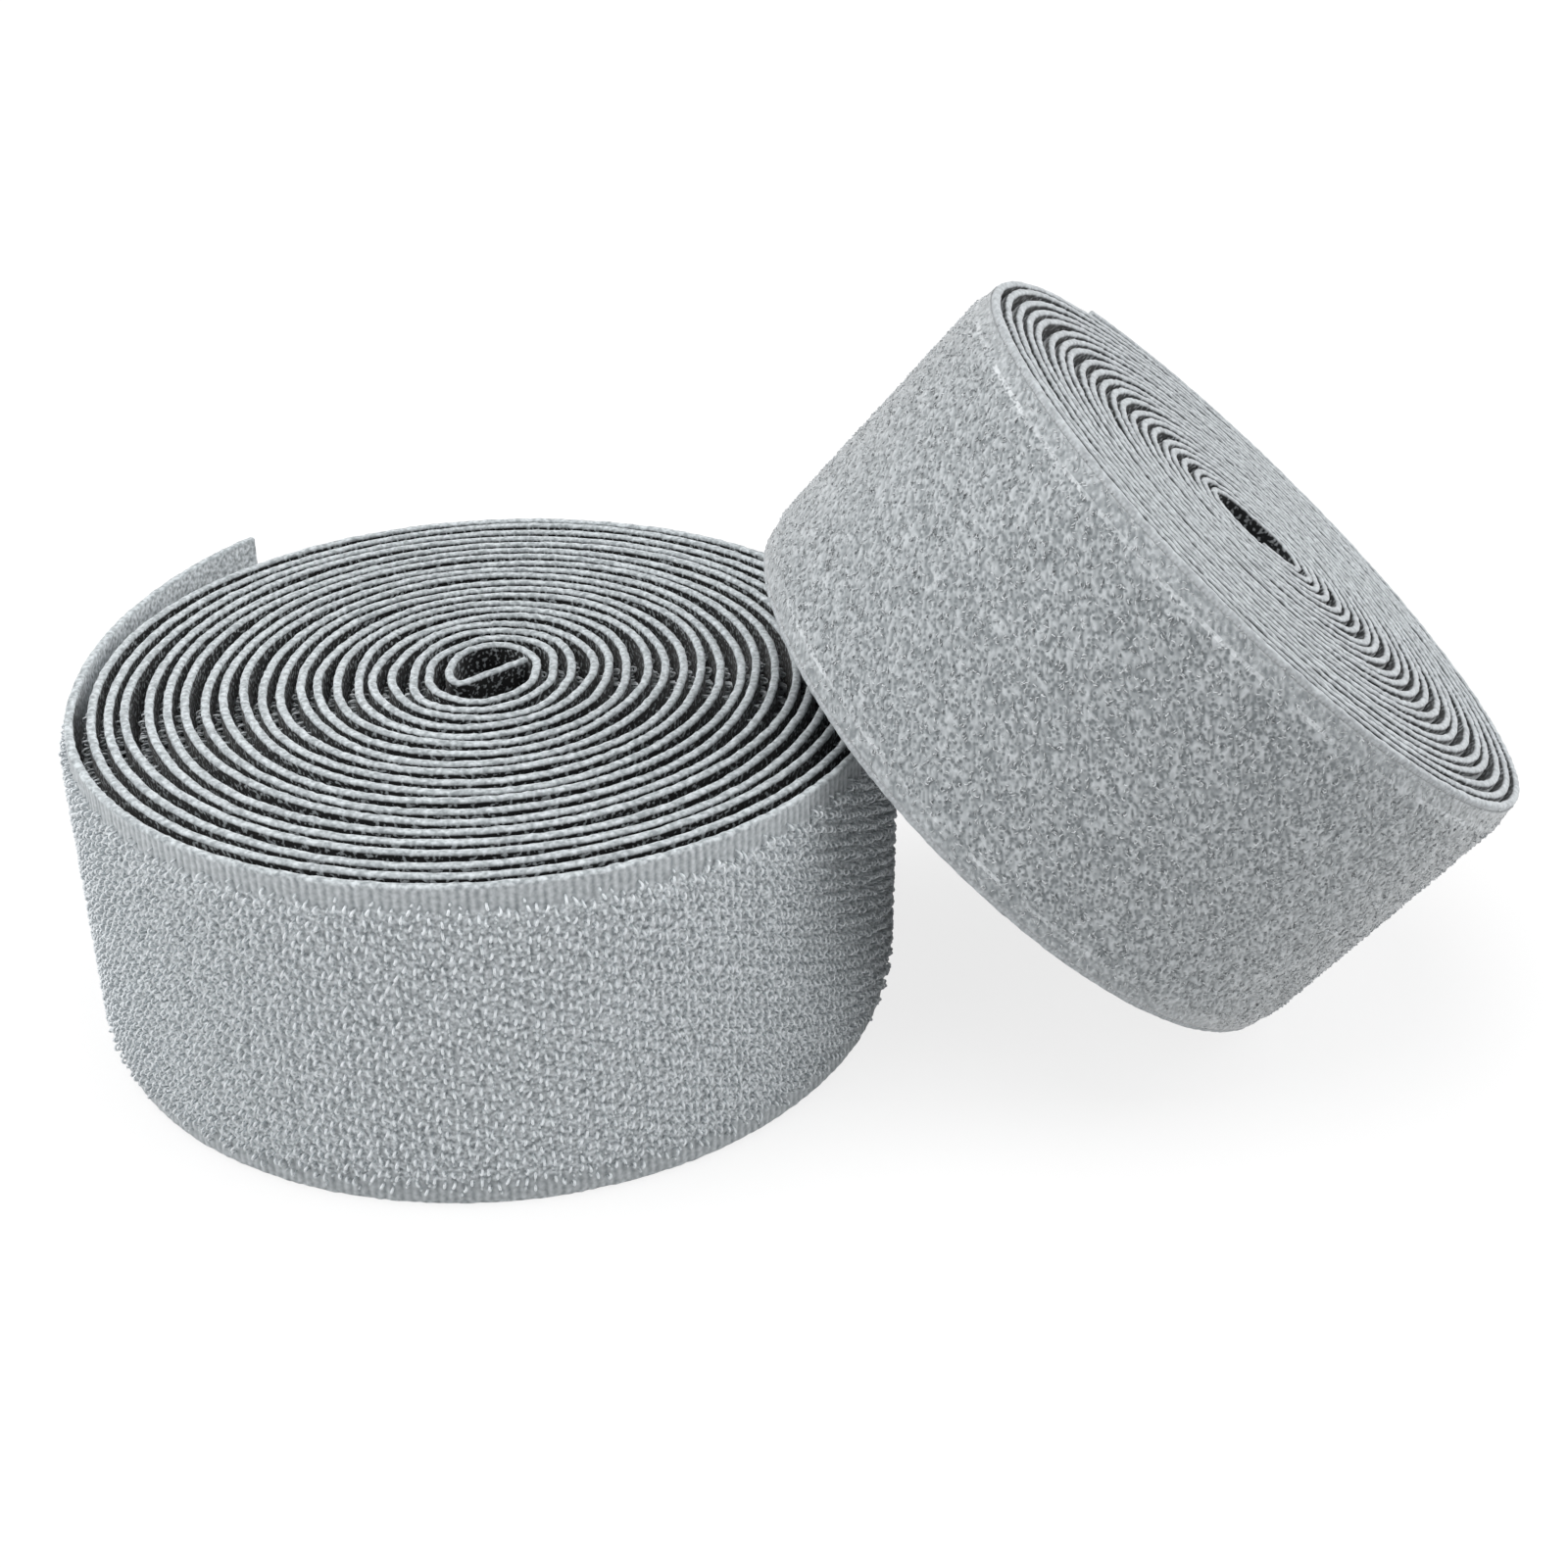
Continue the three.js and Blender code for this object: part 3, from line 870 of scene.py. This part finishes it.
tail_pile_pieces = [
    pile_rows("pile_tail", loop.root_length + TAIL_BARE, loop.tip_length, seed=38),
    felt_strip("pile_felt_tail", loop.root_length, loop.tip_length, FELT_STEP, FELT_STRIPS, seed=39),
]
for piece in tail_pile_pieces:
    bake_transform(piece)
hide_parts("loop_tail_field")

# Floor and light
# A wide floor of white paper that keeps a faint shadow, and a dim white room. One broad lamp hangs over
# the rolls, one stands on either side, and a weak one is low in front. The floor throws some light back.
FLOOR_REACH = 6.0
ROOM_LIGHT = 0.12
PAPER_GLOW = 0.8
floor_mesh = bmesh.new()
bmesh.ops.create_grid(floor_mesh, x_segments=1, y_segments=1, size=FLOOR_REACH)
floor_data = bpy.data.meshes.new("floor")
floor_mesh.to_mesh(floor_data)
floor_mesh.free()
floor = bpy.data.objects.new("floor", floor_data)
bpy.context.collection.objects.link(floor)


def seen_directly(tree):
    """1 for a ray from the camera, a gloss or a clear thing, and 0 for light that falls on the object."""
    ray = add_node(tree, "ShaderNodeLightPath", {})
    seen = ray.outputs["Is Camera Ray"]
    for kind in ("Is Glossy Ray", "Is Transmission Ray"):
        either = add_node(tree, "ShaderNodeMath", {0: seen, 1: ray.outputs[kind]}, operation="MAXIMUM")
        seen = either.outputs[0]
    return seen


paper, paper_tree, paper_shader = start_material("white_paper")
paper_shader.inputs["Roughness"].default_value = 0.9
seen = seen_directly(paper_tree)
white = add_node(
    paper_tree,
    "ShaderNodeMix",
    {"Factor": seen, "A": linear("#c8c8c8"), "B": linear("#fafafa")},
    data_type="RGBA",
)
paper_tree.links.new(white.outputs["Result"], paper_shader.inputs["Base Color"])
glow = add_node(paper_tree, "ShaderNodeEmission", {"Color": linear("#ffffff"), "Strength": 1.0})
share = add_node(paper_tree, "ShaderNodeMath", {0: seen, 1: PAPER_GLOW}, operation="MULTIPLY")
both = add_node(
    paper_tree,
    "ShaderNodeMixShader",
    {0: share.outputs[0], 1: paper_shader.outputs["BSDF"], 2: glow.outputs["Emission"]},
)
paper_tree.links.new(both.outputs["Shader"], paper_tree.nodes["Material Output"].inputs["Surface"])
floor_data.materials.append(paper)

world = bpy.data.worlds.new("white_room")
bpy.context.scene.world = world
world.use_nodes = True
room = world.node_tree
background = room.nodes["Background"]
background.inputs["Color"].default_value = linear("#ffffff")
strength = add_node(room, "ShaderNodeMix", {"Factor": seen_directly(room), "A": ROOM_LIGHT, "B": 1.0})
room.links.new(strength.outputs["Result"], background.inputs["Strength"])


def add_lamp(name, way, strength, spread):
    """A lamp so broad and far that it lights the floor evenly. It shines from the way that is given."""
    data = bpy.data.lights.new(name, "SUN")
    data.energy = strength
    data.angle = math.radians(spread)
    lamp = bpy.data.objects.new(name, data)
    lamp.rotation_euler = Vector(way).to_track_quat("Z", "Y").to_euler()
    bpy.context.collection.objects.link(lamp)


add_lamp("high_lamp", (-0.15, 0.05, 0.98), strength=2.1, spread=50)
add_lamp("left_lamp", (-0.9, -0.2, 0.4), strength=1.9, spread=60)
add_lamp("right_lamp", (0.8, 0.1, 0.5), strength=1.8, spread=60)
add_lamp("front_lamp", (0.8, -0.55, 0.2), strength=0.95, spread=30)

# Camera
# A 50 mm lens, a little above the rolls and to the left of their middle.
camera_data = bpy.data.cameras.new("camera")
camera_data.lens = 50
camera_data.sensor_width = 36
camera_data.clip_start = 0.01
camera = bpy.data.objects.new("camera", camera_data)
camera.location = (-0.043613, -0.291484, 0.190076)
camera.rotation_euler = (math.radians(61.285), 0, math.radians(-8.252))
bpy.context.collection.objects.link(camera)
bpy.context.scene.camera = camera
bpy.context.scene.view_settings.view_transform = "Standard"
